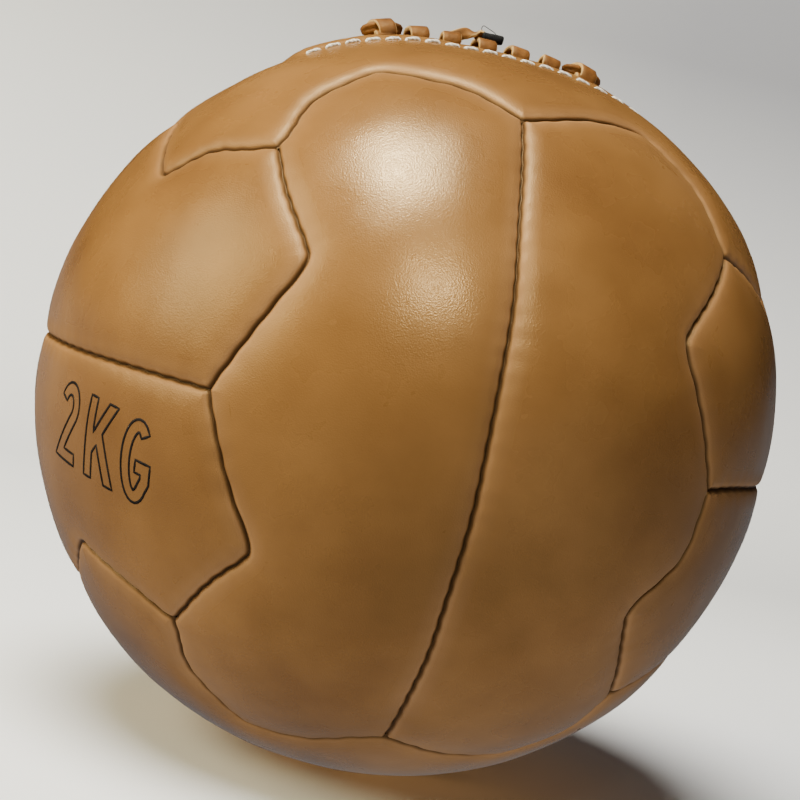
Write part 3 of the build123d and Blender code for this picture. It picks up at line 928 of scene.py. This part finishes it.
def outlined(path):
    """The closed line round a letter drawn as one thick stroke."""
    path = np.array(path)
    left, right = offset(path, LETTER_WEIGHT / 2), offset(path, -LETTER_WEIGHT / 2)
    return straight([tuple(p) for p in (*left, *right[::-1], left[0])])


# The outlines of "2", "K" and "G", in units of the letters' height
MARK_LINES = (
    outlined(arc(0.25, 0.72, 0.17, 0.205, 165, -32) + [(0.08, 0.075), (0.47, 0.075)]),
    straight([(0.72, 0), (0.87, 0), (0.87, 0.32), (0.95, 0.44), (1.13, 0), (1.30, 0), (1.05, 0.60), (1.28, 1),
              (1.11, 1), (0.87, 0.57), (0.87, 1), (0.72, 1), (0.72, 0)]),
    outlined(arc(1.68, 0.5, 0.18, 0.425, 50, 318, 26) + [(1.86, 0.30), (1.86, 0.44), (1.68, 0.44)]),
)


def ink_stroke(points):
    """A closed line of ink that follows the cover, as a thin ribbon."""
    flat = (np.array(points[:-1]) - MARK_MIDDLE) * MARK_HEIGHT
    ahead = unit(np.roll(flat, -1, axis=0) - np.roll(flat, 1, axis=0))
    beside = np.stack([-ahead[:, 1], ahead[:, 0]], axis=1) * MARK_LINE / 2
    tilt = radians(MARK_TILT)
    spin = np.array([[cos(tilt), sin(tilt)], [-sin(tilt), cos(tilt)]])
    rows = []
    right, up = mark_axes()
    turn = turn_to(*PANELS[MARK_PANEL])
    corners = (beside, -MARK_SUNK), (-beside, -MARK_SUNK), (-beside, MARK_PROUD), (beside, MARK_PROUD)
    for sideways, lift in corners:
        spot = (flat + sideways) @ spin
        directions = unit(on_ball(*MARK_PLACE) + (spot[:, :1] * right + spot[:, 1:] * up) / RADIUS)
        skin, _ = skin_points(directions @ turn, turn, False)
        rows.append(skin + unit(skin) * lift)
    rings = np.stack(rows, axis=1)
    return facing_out(rings.reshape(-1, 3), tube_faces(len(rings), len(rows), closed=True))


def mark_axes():
    """Rightwards and upwards along the cover where the mark is, seen from outside."""
    middle = on_ball(*MARK_PLACE)
    right = unit(np.cross(Z, middle))
    return right, np.cross(middle, right)


def weight_mark():
    """A plain stamped weight, 2 KG, in place of the maker's lettering."""
    mesh = joined([ink_stroke(points) for points in MARK_LINES])
    piece = new_object("weight_mark", *mesh, STAMP_INK)
    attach(piece, "root")


# ---------------------------------------------------------------- materials


class Nodes:
    """A short way to write a material's nodes."""

    def __init__(self, name):
        self.material = bpy.data.materials.new(name)
        self.material.use_nodes = True
        self.tree = self.material.node_tree
        self.shader = self.tree.nodes["Principled BSDF"]

    def add(self, kind, **settings):
        made = self.tree.nodes.new(kind)
        for key, value in settings.items():
            if key in made.inputs:
                made.inputs[key].default_value = value
            else:
                setattr(made, key, value)
        return made

    def link(self, out, into):
        self.tree.links.new(out, into)

    def set(self, **values):
        for key, value in values.items():
            self.shader.inputs[key.replace("_", " ")].default_value = value

    def place(self):
        return self.add("ShaderNodeTexCoord").outputs["Object"]

    def noise(self, scale, detail=2.0, rough=0.5, place=None):
        made = self.add("ShaderNodeTexNoise", Scale=scale, Detail=detail, Roughness=rough)
        self.link(place or self.place(), made.inputs["Vector"])
        return made.outputs["Fac"]

    def ramp(self, fac, stops):
        made = self.add("ShaderNodeValToRGB")
        ramp = made.color_ramp
        while len(ramp.elements) < len(stops):
            ramp.elements.new(0.5)
        for element, (at, colour) in zip(ramp.elements, stops):
            element.position = at
            element.color = (*colour, 1) if len(colour) == 3 else colour
        self.link(fac, made.inputs["Fac"])
        return made.outputs["Color"]

    def mix(self, fac, a, b, blend="MIX"):
        made = self.add("ShaderNodeMix", data_type="RGBA", blend_type=blend)
        for value, socket in ((fac, made.inputs[0]), (a, made.inputs[6]), (b, made.inputs[7])):
            if hasattr(value, "is_linked"):
                self.link(value, socket)
            else:
                socket.default_value = value if not isinstance(value, tuple) else (*value, 1)
        return made.outputs[2]

    def math(self, operation, a, b=0.0, clamp=False):
        made = self.add("ShaderNodeMath", operation=operation, use_clamp=clamp)
        for value, socket in ((a, made.inputs[0]), (b, made.inputs[1])):
            if hasattr(value, "is_linked"):
                self.link(value, socket)
            else:
                socket.default_value = value
        return made.outputs[0]

    def bump(self, height, strength, distance, normal=None):
        made = self.add("ShaderNodeBump", Strength=strength, Distance=distance)
        self.link(height, made.inputs["Height"])
        if normal:
            self.link(normal, made.inputs["Normal"])
        return made.outputs["Normal"]


WARM_SHINE = (1.0, 0.72, 0.36, 1.0)
WORN_REACH, GROOVE_SHADE_REACH, DULL_REACH = 14.0, 3.0, 10.0  # how far from a seam each one goes


def cover_leather():
    """Polished tan cowhide: mottled dye, fine grain, pale rolled edges and painted shade in the seam grooves.
    """
    n = Nodes("tan_leather")
    broad = n.noise(14, 3, 0.55)
    fine = n.noise(95, 4, 0.6)
    base = n.ramp(broad, [(0.30, (0.146, 0.064, 0.0165)), (0.5, (0.202, 0.094, 0.0245)),
                          (0.70, (0.252, 0.121, 0.034))])
    mottled = n.mix(n.ramp(fine, [(0.22, (0.38,) * 3), (0.78, (0.64,) * 3)]), base, (0.5, 0.5, 0.5),
                    "OVERLAY")
    base = n.mix(0.55, base, mottled)
    smudge = n.ramp(n.noise(42, 4, 0.6), [(0.25, (0.82, 0.79, 0.76)), (0.75, (1.03, 1.03, 1.03))])
    base = n.mix(1.0, base, smudge, "MULTIPLY")
    depth = n.add("ShaderNodeAttribute", attribute_name="from_seam").outputs["Fac"]
    worn = n.ramp(n.math("DIVIDE", depth, WORN_REACH),
                  [(0.03, (0, 0, 0)), (0.08, (0.95,) * 3), (0.16, (0.4,) * 3), (0.4, (0.1,) * 3),
                   (1.0, (0, 0, 0))])
    patches = n.ramp(n.noise(26, 2, 0.5), [(0.35, (0.25,) * 3), (0.62, (1,) * 3)])
    base = n.mix(n.math("MULTIPLY", worn, patches), base, (0.30, 0.150, 0.055))
    # painted shade: the colour turns near black within about a millimetre of every seam, for the shade in the
    # groove between panels
    painted_groove_shade = n.ramp(n.math("DIVIDE", depth, GROOVE_SHADE_REACH),
                    [(0.0, (1,) * 3), (0.13, (0.7,) * 3), (0.30, (0, 0, 0))])
    base = n.mix(n.math("MULTIPLY", painted_groove_shade, 0.8), base, (0.034, 0.014, 0.006))
    n.link(base, n.shader.inputs["Base Color"])
    pores = n.add("ShaderNodeTexVoronoi", Scale=2300.0, feature="F1")
    n.link(n.place(), pores.inputs["Vector"])
    grain = n.math("ADD", n.math("MULTIPLY", pores.outputs["Distance"], 0.8), n.noise(2100, 2, 0.5))
    normal = n.bump(grain, 0.15, 0.0003)
    normal = n.bump(n.noise(620, 2, 0.5), 0.04, 0.0003, normal)
    n.link(normal, n.shader.inputs["Normal"])
    rough = n.ramp(n.noise(60, 3, 0.6), [(0.3, (0.245,) * 3), (0.7, (0.31,) * 3)])
    at_seam = n.ramp(n.math("DIVIDE", depth, DULL_REACH), [(0.1, (0.22,) * 3), (0.6, (0, 0, 0))])
    n.link(n.math("ADD", rough, at_seam), n.shader.inputs["Roughness"])
    n.set(Specular_IOR_Level=0.4, Specular_Tint=WARM_SHINE)
    return n.material


def plain_leather(name, dark, light, rough, shine=0.5):
    """Split or rawhide leather: fibrous, with little gloss."""
    n = Nodes(name)
    n.link(n.ramp(n.noise(160, 4, 0.6), [(0.3, dark), (0.7, light)]), n.shader.inputs["Base Color"])
    n.link(n.bump(n.noise(700, 3, 0.6), 0.3, 0.0006), n.shader.inputs["Normal"])
    n.set(Roughness=rough, Specular_IOR_Level=shine)
    return n.material


def lace_leather():
    """Rawhide thong: tan faces with pale cut edges."""
    n = Nodes("lace_thong")
    face = n.ramp(n.noise(210, 3, 0.6), [(0.3, (0.085, 0.030, 0.007)), (0.7, (0.175, 0.070, 0.016))])
    edge = n.add("ShaderNodeAttribute", attribute_name="cut_edge").outputs["Fac"]
    n.link(n.mix(n.math("MULTIPLY", edge, 0.85), face, (0.50, 0.32, 0.12)), n.shader.inputs["Base Color"])
    n.link(n.bump(n.noise(900, 3, 0.6), 0.3, 0.0006), n.shader.inputs["Normal"])
    n.set(Roughness=0.55, Specular_IOR_Level=0.2, Specular_Tint=WARM_SHINE)
    return n.material


def spun(name, dark, light, scale, rough=0.7):
    """Twisted thread or woven cloth, told apart by the scale of its ribs."""
    n = Nodes(name)
    wave = n.add("ShaderNodeTexWave", Scale=scale, Distortion=1.5, wave_type="BANDS",
                 bands_direction="DIAGONAL")
    n.link(n.place(), wave.inputs["Vector"])
    n.link(n.ramp(wave.outputs["Fac"], [(0.2, dark), (0.8, light)]), n.shader.inputs["Base Color"])
    n.link(n.bump(wave.outputs["Fac"], 0.4, 0.0004), n.shader.inputs["Normal"])
    n.set(Roughness=rough, Sheen_Weight=0.3)
    return n.material


def woven(name, dark, light, threads_per_metre):
    """Plain weave from two crossed sets of ribs."""
    n = Nodes(name)
    place = n.place()
    ribs = []
    for direction in ("X", "Y", "Z"):
        wave = n.add("ShaderNodeTexWave", Scale=threads_per_metre / 20, Distortion=0.6,
                     wave_type="BANDS", bands_direction=direction)
        n.link(place, wave.inputs["Vector"])
        ribs.append(wave.outputs["Fac"])
    weave = n.math("MULTIPLY", n.math("ADD", ribs[0], ribs[1]), ribs[2])
    n.link(n.ramp(weave, [(0.2, dark), (0.9, light)]), n.shader.inputs["Base Color"])
    n.link(n.bump(weave, 0.4, 0.0004), n.shader.inputs["Normal"])
    n.set(Roughness=0.85, Sheen_Weight=0.2)
    return n.material


LEATHER_SKIN = cover_leather()
RAW_LEATHER = plain_leather("raw_leather", (0.16, 0.075, 0.03), (0.30, 0.16, 0.07), 0.75)
LACE_SKIN = lace_leather()
WHITE_THREAD = spun("white_thread", (0.55, 0.49, 0.38), (0.78, 0.73, 0.62), 380)
SEAM_THREAD = spun("seam_thread", (0.16, 0.09, 0.04), (0.34, 0.22, 0.11), 380)
BLACK_WAX = plain_leather("black_tip", (0.003, 0.003, 0.004), (0.009, 0.009, 0.010), 0.6, 0.1)
STAMP_INK = plain_leather("stamp_ink", (0.004, 0.003, 0.003), (0.012, 0.009, 0.008), 0.7, 0.1)
CANVAS = woven("canvas", (0.42, 0.36, 0.25), (0.62, 0.55, 0.42), 1600)
TICKING = woven("ticking", (0.55, 0.51, 0.42), (0.76, 0.72, 0.62), 2200)
FIBRE = plain_leather("packed_fibre", (0.42, 0.38, 0.32), (0.62, 0.58, 0.5), 0.95)

SLOT_MATERIALS = {
    "cover_leather": LEATHER_SKIN,
    "facing_leather": RAW_LEATHER,
    "lace_leather": LACE_SKIN,
    "black_tip": BLACK_WAX,
    "white_thread": WHITE_THREAD,
    "seam_thread": SEAM_THREAD,
    "canvas": CANVAS,
    "ticking": TICKING,
    "fibre": FIBRE,
}


def dress_cad_nodes():
    """Every CAD node that stays gets its own procedural material."""
    slots = {part["node"]: part["material_slot"] for part in frame["record"]["subparts"]}
    for name, node in NODES.items():
        material = SLOT_MATERIALS[slots[name]]
        for held in node.material_slots:
            held.material = material
        if not node.material_slots:
            node.data.materials.append(material)


# ---------------------------------------------------------------- stage, light, camera

CAMERA_PLACE = np.array([-1.1246, -5.3270, 0.3818]) * RADIUS
CAMERA_UP = np.array([-0.1946, 0.1109, 0.9746])
CAMERA_FIELD = 22.93
AIM_RIGHT, AIM_UP = -1.6, 1.34  # the point it looks at, from the ball's centre


def view_axes(back, up):
    """Right, up and back for a view that looks along the reverse of back."""
    back = unit(back)
    right = unit(np.cross(up, back))
    return right, np.cross(back, right), back


def camera():
    data = bpy.data.cameras.new("camera")
    data.lens_unit = "FOV"
    data.angle = radians(CAMERA_FIELD)
    right, up, _ = view_axes(CAMERA_PLACE, CAMERA_UP)
    right, up, back = view_axes(CAMERA_PLACE - right * AIM_RIGHT - up * AIM_UP, up)
    place = (CAMERA_PLACE + Z * CENTRE_HEIGHT) * MM
    made = bpy.data.objects.new("camera", data)
    made.matrix_world = Matrix(np.block([[np.stack([right, up, back], axis=1), place[:, None]],
                                         [np.zeros((1, 3)), np.ones((1, 1))]]).tolist())
    bpy.context.scene.collection.objects.link(made)
    bpy.context.scene.camera = made


LAMPS = (  # (name, direction from the ball, distance in metres, size in metres, watts, colour)
    ("ceiling_lamp", (-0.27, -0.17, 0.95), 1.5, 0.20, 56, (1.0, 0.94, 0.74)),
    ("ceiling_glow", (-0.27, -0.17, 0.95), 1.5, 1.0, 62, (1.0, 0.98, 0.94)),
    ("front_lamp", (-0.115, -0.77, 0.63), 1.6, 0.18, 23, (1.0, 0.93, 0.76)),
    ("left_window", (-0.93, -0.12, 0.42), 1.3, 0.9, 22, (1.0, 0.92, 0.60)),
)
SHINE_ONLY = ("ceiling_lamp", "front_lamp")
SHADE_ONLY = ("ceiling_glow",)


def lamps():
    for name, direction, distance, size, watts, colour in LAMPS:
        data = bpy.data.lights.new(name, "AREA")
        data.shape = "DISK"
        data.size = size
        data.energy = watts
        data.color = colour
        made = bpy.data.objects.new(name, data)
        place = Vector(direction).normalized() * distance
        made.location = place + Vector((0, 0, CENTRE_HEIGHT * MM))
        made.rotation_euler = place.to_track_quat("Z", "Y").to_euler()
        made.visible_diffuse = name not in SHINE_ONLY
        made.visible_glossy = name not in SHADE_ONLY
        bpy.context.scene.collection.objects.link(made)


BOUNCE_LIGHT = (1.20, 1.20, 1.25)
SKY_LIGHT = (0.05, 0.053, 0.06)
GLOSSY_SHARE = 0.22


def surroundings():
    """Light from all round, with what the floor would throw back in its lower half."""
    world = bpy.data.worlds.new("studio")
    world.use_nodes = True
    tree = world.node_tree
    place = tree.nodes.new("ShaderNodeTexCoord")
    split = tree.nodes.new("ShaderNodeSeparateXYZ")
    tree.links.new(place.outputs["Generated"], split.inputs[0])
    ramp = tree.nodes.new("ShaderNodeValToRGB")
    tree.links.new(split.outputs["Z"], ramp.inputs["Fac"])
    for element, at, colour in zip(ramp.color_ramp.elements, (0.0, 0.06), (BOUNCE_LIGHT, SKY_LIGHT)):
        element.position = at
        element.color = (*colour, 1)
    to_right = tree.nodes.new("ShaderNodeMapRange")
    for key, value in (("From Min", -1.0), ("From Max", 1.0), ("To Min", 1.35), ("To Max", 0.85)):
        to_right.inputs[key].default_value = value
    tree.links.new(split.outputs["X"], to_right.inputs["Value"])
    rays = tree.nodes.new("ShaderNodeLightPath")
    gloss = tree.nodes.new("ShaderNodeMapRange")
    gloss.inputs["To Min"].default_value = 1.0
    gloss.inputs["To Max"].default_value = GLOSSY_SHARE
    tree.links.new(rays.outputs["Is Glossy Ray"], gloss.inputs["Value"])
    strength = tree.nodes.new("ShaderNodeMath")
    strength.operation = "MULTIPLY"
    tree.links.new(to_right.outputs[0], strength.inputs[0])
    tree.links.new(gloss.outputs[0], strength.inputs[1])
    background = tree.nodes["Background"]
    tree.links.new(ramp.outputs["Color"], background.inputs["Color"])
    tree.links.new(strength.outputs[0], background.inputs["Strength"])
    bpy.context.scene.world = world


# The floor, in metres
FLOOR_FRONT, FLOOR_BACK = -2.2, 0.55
WALL_BEND = 0.35
WALL_TOP = 2.4
HALF_WIDTH = 3.0


def backdrop():
    """A pale floor that curves up into a wall. It lights nothing; surroundings() does that."""
    mesh = bpy.data.meshes.new("floor")
    turns = [radians(a) for a in range(10, 91, 10)]
    profile = [(FLOOR_FRONT, 0.0), (FLOOR_BACK, 0.0)]
    profile += [(FLOOR_BACK + WALL_BEND * sin(a), WALL_BEND - WALL_BEND * cos(a)) for a in turns]
    profile += [(FLOOR_BACK + WALL_BEND, WALL_TOP)]
    verts = [(x, y, z) for x in (-HALF_WIDTH, HALF_WIDTH) for y, z in profile]
    count = len(profile)
    faces = [(i, i + 1, count + i + 1, count + i) for i in range(count - 1)]
    mesh.from_pydata(verts, [], faces)
    mesh.shade_smooth()
    n = Nodes("pale_floor")
    height = n.add("ShaderNodeSeparateXYZ")
    n.link(n.place(), height.inputs[0])
    wall = n.ramp(height.outputs["Z"], [(0.05, (0, 0, 0)), (0.35, (1, 1, 1))])
    floor_tone = n.ramp(n.noise(3, 2, 0.5), [(0.3, (0.84, 0.84, 0.82)), (0.7, (0.88, 0.88, 0.86))])
    # painted light and shade: the wall's colour is lighter and warmer on the left and darker and greyer
    # towards the right
    sideways = n.ramp(n.math("ADD", n.math("MULTIPLY", height.outputs["X"], 1.4), 0.5),
                      [(0.0, (0.56, 0.55, 0.50)), (1.0, (0.29, 0.29, 0.30))])
    n.link(n.mix(wall, floor_tone, sideways), n.shader.inputs["Base Color"])
    n.set(Roughness=0.7)
    mesh.materials.append(n.material)
    floor = bpy.data.objects.new("floor", mesh)
    floor.visible_diffuse = False
    floor.visible_glossy = False
    bpy.context.scene.collection.objects.link(floor)


# ---------------------------------------------------------------- the ball

camera()
surroundings()
backdrop()
lamps()
dress_cad_nodes()
for panel_name, (panel_face, panel_side) in PANELS.items():
    panel(panel_name, panel_face, panel_side, LEATHER_SKIN)
lace()
lace_tip()
white_stitching("slit_stitching_front", -1)
white_stitching("slit_stitching_back", 1)
weight_mark()
